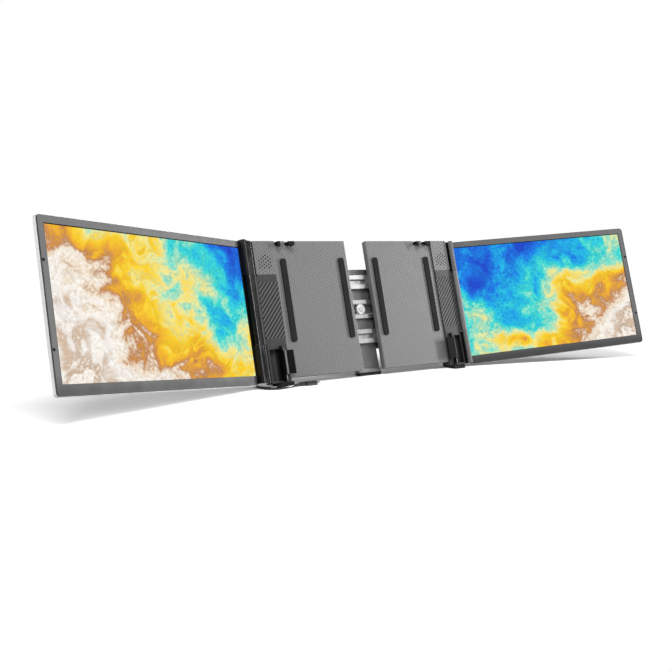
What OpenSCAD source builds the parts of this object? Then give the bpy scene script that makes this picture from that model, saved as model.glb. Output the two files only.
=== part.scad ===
// Laptop screen extender: two hinged displays on a bracket that grips a
// laptop lid. Two sliding halves run on rails in a rear spine; a rack and
// pinion keeps them centred, and a kickstand holds the lean. Millimetres.
// Parts are drawn in the plane of the lid and then leaned back as one.

/* [Stance] */
// lean of the lid and the bracket behind vertical, degrees
lean = 15; // [5:1:25]
// height of the lid's hinge line above the desk
hinge_height = 8.9; // [8:0.1:14]
// space between the two rear plates as drawn
side_gap = 42.4; // [16:0.2:80]

/* [Rear plates and columns] */
// width of one rear plate, from its inner end to the column
plate_w = 137.3; // [125:0.1:160]
// thickness of a rear plate with its cover
plate_t = 9.5; // [9:0.5:14]
// space for the lid between its front face and the columns
lid_t = 4.5; // [4:0.1:8]
// thickness of the pads between lid and plate
lid_pad_t = 2.5; // [1.5:0.1:4]
// width of a column
column_w = 36; // [34:0.5:44]
// depth of a column with its cover
column_t = 17; // [16:0.5:24]
// top edge of plates and columns, up the lean from the hinge line
housing_top = 216; // [205:1:240]
// bottom edge of the columns
housing_bottom = -2.7; // [-3:0.1:0]

/* [Displays] */
// visible width of each screen
active_w = 344.2; // [290:0.1:360]
// visible height of each screen
active_h = 193.6; // [160:0.1:200]
// bottom edge of the visible screen, up the lean
active_z = 10; // [8:0.5:14]
// bezel beside the hinge
bezel_near = 2.2; // [2:0.1:6]
// bezel at the outer side
bezel_far = 9.3; // [6:0.1:12]
// bezel above the screen
bezel_top = 9.2; // [6:0.1:14]
// bezel below the screen
chin = 14; // [12.5:0.1:14.5]
// thickness of a display
display_t = 6; // [5.8:0.1:10]
// rounding of the display corners
display_r = 5; // [3:0.5:8]
// forward swing of the right display as drawn, degrees
right_swing = 16.3; // [0:0.1:40]
// forward swing of the left display as drawn, degrees
left_swing = 20.1; // [0:0.1:40]

/* [Hinges] */
// radius of the hinge barrels
barrel_r = 4.15; // [3.8:0.05:5]
// radius of the hinge pins
pin_r = 1.5; // [1.2:0.1:2]
// running clearance of pins in moving parts
fit = 0.05; // [0.02:0.01:0.1]
// gap between a column and the hinge barrels
hinge_gap = 3.75; // [3.5:0.05:6]
// length of the left link, from axis to axis
link_len = 17.28; // [16.5:0.02:22]
// forward angle of the left link as drawn, degrees
link_angle = 33; // [0:1:60]
// space between a display's face and the line of its hinge axis
face_back = 5.25; // [5:0.05:7]
// space between a hinge axis and the edge of its display
edge_out = 4.4; // [4.35:0.05:6]

/* [Flaps and clips] */
// bottom edge of a clamp flap
flap_z0 = 9; // [6:0.5:14]
// top edge of a clamp flap
flap_z1 = 45; // [36:0.5:46]
// reach of a flap from its pivot toward the lid
flap_reach = 16.4; // [13:0.1:17]
// radius of a flap's pivot bar
flap_bar_r = 3.5; // [3.2:0.1:3.8]
// thickness of the clamp lips of flaps and clips
lip_t = 2.2; // [1.8:0.1:2.6]

/* [Cord] */
// diameter of the cord
cord_d = 4.2; // [3.5:0.1:5]

/* [Hidden] */
$fn = 48;
eps = 0.01;
far = 400;

// gaps between parts that slide or sit in a pocket
slip = 0.25;
seat = 0.15;
part_gap = 0.4;

// ---- half housings ----
plate_x0 = side_gap / 2;
column_x0 = plate_x0 + plate_w;
column_x1 = column_x0 + column_w;
column_mid = (column_x0 + column_x1) / 2;
column_y0 = lid_t;
column_y1 = column_y0 + column_t;
plate_y0 = lid_t + lid_pad_t;
plate_y1 = plate_y0 + plate_t;
plate_z0 = 4;
cover_t = 1.8;
wall = 1.8;
column_r = 2;
column_corner = 2.5;
column_skin = wall + 2;
plate_r = 2;
plate_cover_y = plate_y1 - cover_t;
column_cover_y = column_y1 - cover_t;
step_w = 2;

// front panels of a column, from the top down
grille_h = 53;
band_h = 11;
grille_z0 = housing_top - grille_h;
insert_z1 = grille_z0 - band_h;
insert_z0 = 64;
trough_z1 = 48.5;
trough_z0 = 0;
panel_margin = 0.4;
panel_r = 2.2;
grille_t = 1.5;
insert_t = 1.2;
stripe_pitch = 4.98;
stripe_w = 2.4;
stripe_deep = 0.5;
stripe_angle = 49;
hole_r = 1.25;
hole_pitch = 7.9;
hole_row = 2.8;
hole_top = housing_top - 22.7;
hole_shift = 2;
// each row: number of holes, place of the first in half pitches
hole_rows = [[1, 0], [2, -1], [3, -2], [3, -3], [3, -2], [3, -3],
  [3, -2], [3, -3]];
hole_low = hole_top - (len(hole_rows) - 1) * hole_row;

// speaker behind the grille
speaker_edge = 2.2;
speaker_half = 12;
speaker_rim = 2.4;
speaker_z0 = hole_low - speaker_edge;
speaker_z1 = hole_top + speaker_edge;
speaker_y = column_y0 + column_skin;
speaker_h = 6.5;
cone_r = 9;

// amplifier board and the vents behind it
board_z = [70, 140];
board_gap = 1.6;
chip_z = [96, 108];
vent_z0 = 84;
vent_pitch = 9;
vent_h = 2.4;
vents = 6;

// screws of the rear covers, clear of the clips at the top
screw_in = 8;
screw_low = 18;
screw_low_out = 12;
screw_clear = 57;
cover_screws = [
  [plate_x0 + screw_in, screw_low], [column_x0 - screw_low_out, screw_low],
  [plate_x0 + screw_in, housing_top - screw_in],
  [column_x0 - screw_clear, housing_top - screw_in]
];
cover_screw_r = 1;
cover_boss_r = 3;

// pads between lid and plate
lid_pad_in = 8;
lid_pad_out = 20;
lid_pad_x = [plate_x0 + lid_pad_in, column_x0 - lid_pad_out];
lid_pad_w = 10;
lid_pad_z = [58, housing_top - 28];

// trough that takes the stowed flap
trough_r = 8.9;
trough_in = 24.1;
trough_x = column_x0 + trough_in;
flap_in = 11.9;
flap_x = column_x0 + flap_in;
flap_y = flap_bar_r;
flap_pin_r = 1.2;
flap_pad_t = 0.8;
heel_r = 3;
heel_in = 0.5;
heel_sweep = flap_bar_r * sqrt(2) + part_gap;
recess_y = 2 * flap_y + flap_pad_t + lip_t + 0.3;
lug_r = 3.4;
lug_h = 4;

// ---- top clips ----
lid_top = housing_top - 7;
clip_top = housing_top - 2.5;
clip_low = lid_top - 34.5;
clip_lip = 3;
clip_over = 1.8;
clip_tab = 3.8;
clip_tab_w = 4;
clip_yoke = 6;
clip_neck = 0.8;
clip_narrow = 4.5;
clip_wide = 11.5;
clip_space = 14;
clip_in = 5.2;
clip_y0 = plate_y0 + 2.2;
clip_y1 = clip_y0 + 2.4;

// ---- rails, rack and pinion ----
rail_z = [60, 150];
rail_in = 5.2;
rail_x0 = plate_x0 - rail_in;
rail_reach = 107;
rail_x1 = plate_x0 + rail_reach;
rail_flange = 18;
rail_web = 8;
rail_web_t = 2.1;
rail_t = 3;
rail_band = 14;
rail_y0 = plate_y1;
rail_y1 = rail_y0 + rail_web_t;
rail_y2 = rail_y1 + rail_t;
channel_t = 2;
channel_lip = 1.2;
channel_half = 70;
channel_y = rail_y2 + slip;
spine_y0 = channel_y + channel_t;
module_mm = 1;
pinion_teeth = 16;
pitch_r = module_mm * pinion_teeth / 2;
pinion_z = (rail_z[0] + rail_z[1]) / 2;
tooth_pitch = PI * module_mm;
tooth_half = 0.62;
tooth_tip = 0.32;
tooth_base = 0.95;
tooth_out = 0.9;
tooth_in = 1.2;
rack_h = 6;
rack_screws = [12, 4];
rack_screw_z = pitch_r + tooth_in + rack_h / 2;
rail_screw_in = 8;
rail_screw_pitch = 18;
rail_screws = [rail_x1 - rail_screw_in - rail_screw_pitch,
  rail_x1 - rail_screw_in];
gear_y0 = rail_y1;
gear_y1 = gear_y0 + 4;
rack_in = 28;
rack_out = 62;
rack_foot = 16;
axle_r = 2.5;

// ---- spine and kickstand ----
spine_half = 72;
spine_screw_x = [-spine_half + 6, spine_half - 6];
spine_screw_z = [80, 132];
channel_screw_x = [-channel_half + 15, 0, channel_half - 15];
spine_z0 = 40;
spine_z1 = 172;
spine_t = 4;
window_x = 48;
window_half = 12;
window_z = [86, 126];
spine_y1 = spine_y0 + spine_t;
cover_y1 = spine_y1 + 7;
shoe_half = 22;
shoe_y0 = spine_y0 - 4;
shoe_y1 = spine_y1 + 4;
shoe_z = 1.5;
foot_mid = (shoe_y0 + shoe_y1) / 2;
foot_y = foot_mid / cos(lean) - hinge_height * tan(lean);
kick_z = 132;
kick_y = cover_y1 + 4.5;
kick_pin_r = 2;
kick_knuckle_r = 4;
kick_open = 35;
kick_half = 32;
kick_t = 3.2;
kick_gap = 0.5;
ear_w = 6;
kick_rise = hinge_height - kick_y * sin(lean) + kick_z * cos(lean);
kick_len = kick_rise / cos(kick_open - lean);
kick_cap = 12;

// ---- display hinges ----
axis1_x = column_x1 + hinge_gap + barrel_r;
axis1_y = 1.6;
axis2_x = axis1_x + link_len * cos(link_angle);
axis2_y = axis1_y - link_len * sin(link_angle);
knuckle_z0 = 55;
knuckle_z1 = 161;
barrel_z0 = -1.5;
barrel_z1 = housing_top - 2;
link_t = 5;
hinge_web = 3.5;
// inner foot of a display's barrels, and the wall behind them
foot_in = 1;
foot_t = 4;
guard_x = axis1_x - foot_in - part_gap;
guard_y = axis1_y + barrel_r + part_gap;
guard_t = 3.2;
knuckle_spans = [[barrel_z0, knuckle_z0 - part_gap],
  [knuckle_z1 + part_gap, barrel_z1]];

// ---- displays ----
u0 = edge_out;
u1 = edge_out + bezel_near + active_w + bezel_far;
display_z0 = active_z - chin;
display_z1 = active_z + active_h + bezel_top;
bezel_t = 0.9;
rim = 0.6;
shell_t = 1;
glass_t = 0.9;
light_t = 1.2;
v_face = face_back;
v_glass = v_face + bezel_t;
v_light = v_glass + glass_t;
v_board = v_light + light_t;
v_back = v_face + display_t;
lip_in = 1.2;
board_t = 0.8;
chip_t = 0.6;
board_in = 30;
board_w = 120;
board_low = 4;
board_h = 34;
side_board_in = 20;
side_board_w = 40;
side_board_z = 20;
side_board_h = 28;
button_r = 3;
button_out = 0.8;
button_flange = 0.8;
button_flange_t = 0.6;
button_in = 40;
button_z = 30;
bumper_r = 1.9;
bumper_out = 0.45;
bumper_in = 3.6;
bumper_z = [51, 158];

// ---- cord: centre lines on the desk, origin at the centre foot ----
port_x = column_x0 + 7.5;
port_z = 12.8;
port_y = column_y1;
lead_path = [
  [-156, -37, 3.0], [-163, -37.7, 2.6], [-172, -39.9, 2.1],
  [-182, -42.9, 2.1], [-192, -45.2, 2.1], [-201, -45.2, 2.1],
  [-209, -42.0, 2.1], [-214.5, -35.6, 2.1], [-217.3, -27, 2.1],
  [-217.5, -16, 2.1], [-217.5, -4, 2.1], [-217.2, 10, 2.1],
  [-216.8, 24, 2.1], [-216.2, 37, 2.1], [-215.7, 48, 3.4],
  [-215.3, 56, 5.2], [-215.2, 63, 6.2], [-215.2, 69.5, 5.9],
  [-215.2, 75, 5.7]
];
plug_len = 28;
tail_end = [-port_x,
  (port_y + plug_len) * cos(lean) + port_z * sin(lean) - foot_y,
  hinge_height - (port_y + plug_len) * sin(lean) + port_z * cos(lean)];
tail_path = [
  [-162.7, 75, 2.1], [-162.8, 66.5, 2.1], [-163.4, 58, 2.1],
  [-164.4, 50, 2.4], [-165.3, 43, 3.6], [-165.8, 37, 5.5],
  [-166, 31.8, 7.1], tail_end
];
coil_x = -190;
coil_y = 75;
coil_r = 23.1;
coil_step = 4.15;

// ---- shared shapes ----
module rounded(x0, y0, x1, y1, r) {
  translate([x0 + r, y0])
    square([x1 - x0 - 2 * r, y1 - y0]);
  translate([x0, y0 + r])
    square([x1 - x0, y1 - y0 - 2 * r]);
  for (x = [x0 + r, x1 - r])
    for (y = [y0 + r, y1 - r])
      translate([x, y])
        circle(r = r);
}

// plate across the lean, between two depths
module slab(x0, z0, x1, z1, y0, y1, r) {
  translate([0, y1, 0])
    rotate([90, 0, 0])
      linear_extrude(height = y1 - y0)
        rounded(x0, z0, x1, z1, r);
}

// post up the lean, between two heights
module post(x0, y0, x1, y1, z0, z1, r) {
  translate([0, 0, z0])
    linear_extrude(height = z1 - z0)
      rounded(x0, y0, x1, y1, r);
}

module box(x0, x1, y0, y1, z0, z1) {
  translate([x0, y0, z0])
    cube([x1 - x0, y1 - y0, z1 - z0]);
}

module rod(x, y, z0, z1, r) {
  translate([x, y, z0])
    cylinder(h = z1 - z0, r = r);
}

// rod running from front to back
module peg(x, z, y0, y1, r) {
  translate([x, y1, z])
    rotate([90, 0, 0])
      cylinder(h = y1 - y0, r = r);
}

// rod running across
module bar(x0, x1, y, z, r) {
  translate([x0, y, z])
    rotate([0, 90, 0])
      cylinder(h = x1 - x0, r = r);
}

// everything leans back about the hinge line and stands on the desk
module stand() {
  translate([0, -foot_y, hinge_height])
    rotate([-lean, 0, 0])
      children();
}

// space above the desk, seen from the leaned frame
module above_desk() {
  rotate([lean, 0, 0])
    translate([-far, -far, -hinge_height])
      cube([2 * far, 2 * far, far]);
}

// side is -1 for the left and 1 for the right
module on_side(side) {
  if (side < 0)
    mirror([1, 0, 0])
      children();
  else
    children();
}

// ---- half housings ----
module housing_outline() {
  post(plate_x0, plate_y0, column_x0 + column_r,
    plate_cover_y + plate_r, plate_z0, housing_top, plate_r);
  post(column_x0, column_y0, column_x1,
    column_cover_y + column_r, housing_bottom, housing_top, column_r);
}

// what a column loses at its rounded outer top corner
module top_corner() {
  difference() {
    box(column_x1 - column_corner, column_x1 + 1, column_y0 - 1,
      column_y1 + 1, housing_top - column_corner, housing_top + 1);
    peg(column_x1 - column_corner, housing_top - column_corner,
      column_y0 - 2, column_y1 + 2, column_corner);
  }
}

module flap_recess() {
  intersection() {
    union() {
      rod(trough_x, column_y0, trough_z0, trough_z1, trough_r);
      box(flap_x + heel_in - heel_r - part_gap, flap_x + 8,
        column_y0 - eps, recess_y, trough_z0, trough_z1);
      rod(flap_x, flap_y, trough_z0, trough_z1, heel_sweep);
    }
    slab(flap_x - 6, trough_z0, trough_x + trough_r + 1, trough_z1,
      -5, column_y1, 3.5);
  }
}

module rail_bores(r, y0, y1) {
  for (z = rail_z)
    for (x = rail_screws)
      peg(x, z, y0, y1, r);
}

module cover_bores(r, y0, y1) {
  for (p = cover_screws)
    peg(p[0], p[1], y0, y1, r);
}

// plate hollows, open at the back, with solid bands for the rails
module plate_hollows() {
  difference() {
    for (span = [[plate_z0 + column_skin, rail_z[0] - rail_band],
      [rail_z[0] + rail_band, rail_z[1] - rail_band],
      [rail_z[1] + rail_band, housing_top - column_skin]])
      box(plate_x0 + wall, column_x0 - wall, plate_y0 + wall,
        plate_y1, span[0], span[1]);
    cover_bores(cover_boss_r, plate_y0, plate_y1);
  }
}

module housing(side) {
  color([0.13, 0.13, 0.14])
    stand() on_side(side)
      difference() {
        union() {
          intersection() {
            housing_outline();
            union() {
              box(plate_x0 - 1, column_x0, 0, plate_cover_y,
                -5, far);
              box(column_x0, column_x1 + 1, 0, column_cover_y,
                -5, far);
            }
          }
          rod(axis1_x, axis1_y, knuckle_z0, knuckle_z1, barrel_r);
          box(column_x1 - wall, axis1_x, column_y0,
            column_y0 + hinge_web, knuckle_z0, knuckle_z1);
          for (span = knuckle_spans)
            box(column_x1 - 1, guard_x, guard_y, guard_y + guard_t,
              span[0], min(span[1], housing_top - column_corner));
          rod(flap_x, flap_y, trough_z1, trough_z1 + lug_h, lug_r);
          rod(flap_x, flap_y, housing_bottom, trough_z0, lug_r);
          box(flap_x - lug_r, flap_x + lug_r, flap_y, column_y0 + 1,
            trough_z1, trough_z1 + lug_h);
          box(flap_x - lug_r, flap_x + lug_r, flap_y, column_y0 + 1,
            housing_bottom, trough_z0);
        }
        plate_hollows();
        top_corner();
        // column hollows
        box(column_x0 + wall, column_x1 - wall, speaker_y,
          column_y1, grille_z0 + 2, housing_top - column_skin);
        box(column_x0 + wall, column_x1 - wall, speaker_y,
          column_y1, trough_z1 + lug_h + 2, grille_z0 - 2);
        box(column_x0 + wall, column_x1 - wall,
          column_y0 + trough_r + wall, column_y1, 3, trough_z1 + 2);
        // pockets for the grille and the striped insert
        box(column_x0 - 1, column_x1 + 1, column_y0 - 1,
          column_y0 + grille_t, grille_z0, housing_top + 1);
        box(column_x0 - 1, column_x1, column_y0 - 1,
          column_y0 + insert_t, insert_z0, insert_z1);
        slab(column_mid - speaker_half, speaker_z0,
          column_mid + speaker_half, speaker_z1,
          column_y0, speaker_y + 1, panel_r);
        flap_recess();
        rod(flap_x, flap_y, housing_bottom + 0.6,
          trough_z1 + lug_h - 0.6, flap_pin_r);
        rod(axis1_x, axis1_y, knuckle_z0 - 1, knuckle_z1 + 1, pin_r);
        clip_slots(side);
        cover_bores(cover_screw_r, plate_y0 + wall, plate_y1);
        rail_bores(1.2, plate_y0 + wall + 0.6, plate_y1);
        // pocket for the connector
        if (side < 0)
          box(port_x - 5.2, port_x + 5.2, port_y - 8.6, column_y1,
            port_z - 2.6, port_z + 2.6);
      }
}

module rear_cover(side) {
  color([0.2, 0.2, 0.21])
    stand() on_side(side)
      difference() {
        union() {
          slab(plate_x0, plate_z0, column_x0 - eps, housing_top,
            plate_cover_y, plate_y1, plate_r);
          box(column_x0 - step_w, column_x0, plate_cover_y,
            column_y1, plate_z0, housing_top);
          slab(column_x0 - step_w, housing_bottom, column_x1,
            housing_top, column_cover_y, column_y1, plate_r);
        }
        top_corner();
        cover_bores(cover_screw_r, plate_cover_y - 1, plate_y1 + 1);
        cover_bores(2, plate_y1 - 1, plate_y1 + 1);
        rail_bores(1.2, plate_cover_y - 1, plate_y1 + 1);
        for (i = [0 : vents - 1])
          slab(column_x0 + 7, vent_z0 + i * vent_pitch, column_x1 - 7,
            vent_z0 + i * vent_pitch + vent_h, column_cover_y - 1,
            column_y1 + 1, 1.1);
        if (side < 0)
          slab(port_x - 5.2, port_z - 2.2, port_x + 5.2,
            port_z + 2.2, column_cover_y - 1, column_y1 + 1, 2);
      }
}

// grille with its cluster of real holes
module grille(side) {
  color([0.5, 0.5, 0.51])
    stand() on_side(side)
      difference() {
        slab(column_x0 + panel_margin, grille_z0 + seat,
          column_x1 - panel_margin, housing_top - panel_margin,
          column_y0, column_y0 + grille_t, panel_r);
        for (row = [0 : len(hole_rows) - 1])
          for (k = [0 : hole_rows[row][0] - 1])
            peg(column_mid + side * (hole_shift
              + (hole_rows[row][1] + 2 * k) * hole_pitch / 2),
              hole_top - row * hole_row, column_y0 - 1,
              column_y0 + grille_t + 1, hole_r);
      }
}

// flat speaker: frame behind the wall, nose in the opening
module speaker(side) {
  mid_z = (speaker_z0 + speaker_z1) / 2;
  color([0.08, 0.08, 0.08])
    stand() on_side(side)
      difference() {
        union() {
          slab(column_mid - speaker_half + seat, speaker_z0 + seat,
            column_mid + speaker_half - seat, speaker_z1 - seat,
            column_y0 + grille_t + seat, speaker_y + eps,
            panel_r - seat);
          slab(column_mid - speaker_half - speaker_rim,
            speaker_z0 - speaker_rim,
            column_mid + speaker_half + speaker_rim,
            speaker_z1 + speaker_rim, speaker_y,
            speaker_y + speaker_h, panel_r);
        }
        slab(column_mid - speaker_half + 1, speaker_z0 + 1,
          column_mid + speaker_half - 1, speaker_z1 - 1,
          column_y0, speaker_y, panel_r - 1);
        translate([column_mid, speaker_y - eps, mid_z])
          rotate([-90, 0, 0])
            cylinder(h = speaker_h - 2, r1 = cone_r, r2 = 3);
      }
}

// insert with raised diagonal stripes
module insert(side) {
  color([0.3, 0.3, 0.31])
    stand()
      difference() {
        on_side(side)
          slab(column_x0 + panel_margin, insert_z0 + seat,
            column_x1 - panel_margin, insert_z1 - seat,
            column_y0, column_y0 + insert_t, 0.5);
        intersection() {
          on_side(side)
            box(column_x0, column_x1,
              column_y0 - 1, column_y0 + stripe_deep,
              insert_z0 + 0.6, insert_z1 - 0.6);
          for (i = [-14 : 14])
            translate([side * column_mid, 0,
              (insert_z0 + insert_z1) / 2 + i * stripe_pitch
                / cos(stripe_angle)])
              rotate([0, -stripe_angle, 0])
                translate([-40, column_y0 - 1, -stripe_w / 2])
                  cube([80, 1 + stripe_deep, stripe_w]);
        }
      }
}

module rails(side) {
  color([0.6, 0.6, 0.62])
    stand() on_side(side)
      difference() {
        for (z = rail_z) {
          box(rail_x0, rail_x1, rail_y0, rail_y1 + eps,
            z - rail_web / 2, z + rail_web / 2);
          box(rail_x0, rail_x1, rail_y1, rail_y2,
            z - rail_flange / 2, z + rail_flange / 2);
        }
        rail_bores(1.2, rail_y0 - 1, rail_y2 + 1);
        rail_bores(2.4, rail_y2 - 1.4, rail_y2 + 1);
      }
}

// the left rack lies over the pinion and the right one under it
module rack(side) {
  over = side < 0 ? 1 : -1;
  color([0.62, 0.62, 0.63])
    stand() on_side(side)
      translate([0, 0, pinion_z])
        difference() {
          union() {
            rack_profile(over);
            box(rack_out - rack_foot, rack_out, rail_y0,
              gear_y0 + eps, over * rack_screw_z - rack_h / 2,
              over * rack_screw_z + rack_h / 2);
          }
          for (d = rack_screws) {
            peg(rack_out - d, over * rack_screw_z, rail_y0 - 1,
              gear_y1 + 1, 1);
            peg(rack_out - d, over * rack_screw_z, gear_y1 - 1.2,
              gear_y1 + 1, 2);
          }
        }
}

module rack_profile(over) {
  translate([0, gear_y1, 0])
    rotate([90, 0, 0])
      linear_extrude(height = gear_y1 - gear_y0)
        if (over > 0)
          rack_teeth();
        else
          mirror([0, 1])
            rack_teeth();
}

module rack_teeth() {
  translate([-rack_in, pitch_r + tooth_in])
    square([rack_in + rack_out, rack_h]);
  for (i = [-8 : 8])
    translate([(i + 0.5) * tooth_pitch, pitch_r])
      mirror([0, 1])
        tooth(0.1);
}

// one tooth about the pitch line, with its foot sunk into the body
module tooth(sink) {
  polygon([[-tooth_base, -tooth_in - sink], [-tooth_half, 0],
    [-tooth_tip, tooth_out], [tooth_tip, tooth_out],
    [tooth_half, 0], [tooth_base, -tooth_in - sink]]);
}

module pinion_shape() {
  color([0.85, 0.85, 0.82])
    stand()
      translate([0, gear_y1, pinion_z])
        rotate([90, 0, 0])
          difference() {
            union() {
              cylinder(h = gear_y1 - gear_y0, r = pitch_r - tooth_in);
              for (i = [0 : pinion_teeth - 1])
                rotate([0, 0, i * 360 / pinion_teeth])
                  translate([0, pitch_r, 0])
                    linear_extrude(height = gear_y1 - gear_y0)
                      tooth(0.3);
            }
            translate([0, 0, -1])
              cylinder(h = 10, r = axle_r + fit);
          }
}

module lid_pads(side) {
  color([0.1, 0.1, 0.1])
    stand() on_side(side)
      for (x = lid_pad_x)
        slab(x, lid_pad_z[0], x + lid_pad_w, lid_pad_z[1],
          column_y0, plate_y0, 4);
}

module foot_pad(side) {
  color([0.09, 0.09, 0.09])
    stand() on_side(side)
      intersection() {
        post(column_x0 + 1.5, -3.5, column_x1 - 9.5,
          column_y1, -12, housing_bottom, 1.2);
        above_desk();
      }
}

module board(side) {
  color([0.08, 0.3, 0.16])
    stand() on_side(side) {
      box(column_x0 + wall + 2, column_x1 - wall - 2,
        column_cover_y - 2 * board_gap, column_cover_y - board_gap,
        board_z[0], board_z[1]);
      for (z = [board_z[0] + 4, board_z[1] - 4])
        for (x = [column_x0 + wall + 4, column_x1 - wall - 4])
          peg(x, z, column_cover_y - board_gap, column_cover_y, 1.5);
      box(column_mid - 6, column_mid + 6, column_cover_y - 5,
        column_cover_y - 2 * board_gap, chip_z[0], chip_z[1]);
      if (side < 0)
        difference() {
          slab(port_x - 5, port_z - 2, port_x + 5, port_z + 2,
            port_y - 8.4, port_y, 1.9);
          slab(port_x - 4.3, port_z - 1.35, port_x + 4.3,
            port_z + 1.35, port_y - 7.4, port_y + 1, 1.3);
        }
    }
}

// screw from its tip to the outer face of its head
module screw(x, z, tip, head, r, head_r, head_t) {
  s = head > tip ? 1 : -1;
  under = head - s * head_t;
  peg(x, z, min(tip, under), max(tip, under), r);
  difference() {
    peg(x, z, min(under, head), max(under, head), head_r);
    translate([x, head + (s > 0 ? 0.1 : 0.6), z])
      rotate([90, 0, 0])
        cylinder(h = 0.7, r = head_r * 0.45, $fn = 6);
  }
}

module half_screws(side) {
  over = side < 0 ? 1 : -1;
  color([0.7, 0.7, 0.72])
    stand() on_side(side) {
      for (p = cover_screws)
        screw(p[0], p[1], plate_y0 + wall, plate_y1,
          cover_screw_r, 2, 1);
      for (z = rail_z)
        for (x = rail_screws)
          screw(x, z, plate_y0 + wall + 0.6, rail_y2, 1.2, 2.4, 1.4);
      for (d = rack_screws)
        screw(rack_out - d, pinion_z + over * rack_screw_z,
          plate_y1, gear_y1, 1, 2, 1.2);
    }
}

// column hinge pin and flap pin
module pins(side) {
  color([0.75, 0.75, 0.77])
    stand() on_side(side) {
      rod(axis1_x, axis1_y, barrel_z0 + 2, barrel_z1 - 2, pin_r);
      rod(flap_x, flap_y, housing_bottom + 0.6,
        trough_z1 + lug_h - 0.6, flap_pin_r);
    }
}

// ---- clamp flaps and top clips ----
module flap(side) {
  heel_y = heel_r - flap_pad_t - lip_t;
  color([0.12, 0.12, 0.12])
    stand() on_side(side)
      difference() {
        union() {
          rod(flap_x, flap_y, trough_z0 + part_gap,
            trough_z1 - part_gap, flap_bar_r);
          translate([0, 0, flap_z0])
            linear_extrude(height = flap_z1 - flap_z0)
              union() {
                translate([flap_x - flap_reach, -flap_pad_t - lip_t])
                  square([flap_reach, lip_t]);
                translate([flap_x - flap_bar_r, heel_y])
                  square([2 * flap_bar_r, flap_y - heel_y]);
                translate([flap_x - heel_in, heel_y])
                  circle(r = heel_r);
                translate([flap_x - flap_bar_r, -flap_pad_t])
                  square([flap_bar_r, 2]);
              }
        }
        rod(flap_x, flap_y, -5, far, flap_pin_r + fit);
      }
}

module flap_pad(side) {
  color([0.07, 0.07, 0.07])
    stand() on_side(side)
      slab(flap_x - flap_reach + 0.5, flap_z0 + 1.5,
        flap_x - flap_bar_r - 0.5, flap_z1 - 1.5,
        -flap_pad_t, 0, 1.5);
}

// narrow and wide hook of a clip, the same way round on both sides
function clip_hooks(side) =
  let (c = column_x0 - clip_in,
    w = clip_narrow + clip_space + clip_wide)
  side > 0
    ? [[c - w, c - w + clip_narrow], [c - clip_wide, c]]
    : [[c - w, c - w + clip_wide], [c - clip_narrow, c]];

module clip_slots(side) {
  for (c = clip_hooks(side)) {
    box(c[0] + clip_neck - slip, c[1] - clip_neck + slip,
      clip_y0 - slip, clip_y1 + slip, clip_low - 3, housing_top + 1);
    box(c[0] - slip, c[1] + slip, plate_y0 - 1, clip_y1 + slip,
      lid_top - slip, housing_top + 1);
  }
}

// two hooks over the lid's top edge on one sliding yoke
module clip(side) {
  hooks = clip_hooks(side);
  color([0.1, 0.1, 0.1])
    stand() on_side(side) {
      for (c = hooks) {
        box(c[0] + clip_neck, c[1] - clip_neck, clip_y0, clip_y1,
          clip_low, clip_top - 1);
        slab(c[0], lid_top, c[1], clip_top, -clip_lip, clip_y1, 0.8);
        slab(c[0], lid_top - clip_over, c[1], clip_top,
          -clip_lip, 0, 0.8);
        slab((c[0] + c[1] - clip_tab_w) / 2, lid_top - clip_tab,
          (c[0] + c[1] + clip_tab_w) / 2, clip_top - 1,
          -clip_lip, 0, 0.8);
      }
      box(hooks[0][0] + clip_neck, hooks[1][1] - clip_neck, clip_y0,
        clip_y1, clip_low, clip_low + clip_yoke);
    }
}

// ---- left link ----
module link(side) {
  clear = barrel_r + part_gap;
  color([0.09, 0.09, 0.1])
    stand() on_side(side)
      translate([axis1_x, axis1_y, 0])
        rotate([0, 0, -link_angle])
          difference() {
            union() {
              box(clear, link_len - clear, -link_t / 2, link_t / 2,
                barrel_z0, barrel_z1);
              for (span = knuckle_spans) {
                rod(0, 0, span[0], span[1], barrel_r);
                box(0, clear + 1, -link_t / 2, link_t / 2,
                  span[0], span[1]);
              }
              rod(link_len, 0, knuckle_z0, knuckle_z1, barrel_r);
              box(link_len - clear - 1, link_len, -link_t / 2,
                link_t / 2, knuckle_z0, knuckle_z1);
            }
            rod(0, 0, -5, far, pin_r + fit);
            rod(link_len, 0, knuckle_z0 - 1, knuckle_z1 + 1, pin_r);
          }
}

module link_pins(side) {
  color([0.75, 0.75, 0.77])
    stand() on_side(side)
      rod(axis2_x, axis2_y, barrel_z0 + 2, barrel_z1 - 2, pin_r);
}

// ---- displays, drawn flat about their hinge axis, then swung ----
module swung(side) {
  stand() on_side(side)
    translate([side < 0 ? axis2_x : axis1_x,
      side < 0 ? axis2_y : axis1_y, 0])
      rotate([0, 0, side < 0 ? -left_swing : -right_swing])
        children();
}

module shell(side) {
  color([0.72, 0.73, 0.75])
    swung(side)
      difference() {
        union() {
          slab(u0, display_z0 - rim, u1 + rim, display_z1 + rim,
            v_glass, v_back, display_r + rim);
          for (span = knuckle_spans) {
            rod(0, 0, span[0], span[1], barrel_r);
            box(-foot_in, u0 - 0.2, 0, v_glass + foot_t,
              span[0], span[1]);
          }
          box(side < 0 ? -lip_in : part_gap, u0 + shell_t, v_glass,
            v_glass + foot_t, barrel_z0, barrel_z1);
        }
        slab(u0 + shell_t, display_z0 - rim + shell_t,
          u1 + rim - shell_t, display_z1 + rim - shell_t,
          v_glass - 1, v_back - shell_t, display_r + rim - shell_t);
        rod(0, 0, -5, far, pin_r + fit);
        peg(u1 - button_in, button_z, v_back - 2, v_back + 1,
          button_r + fit);
      }
}

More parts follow.
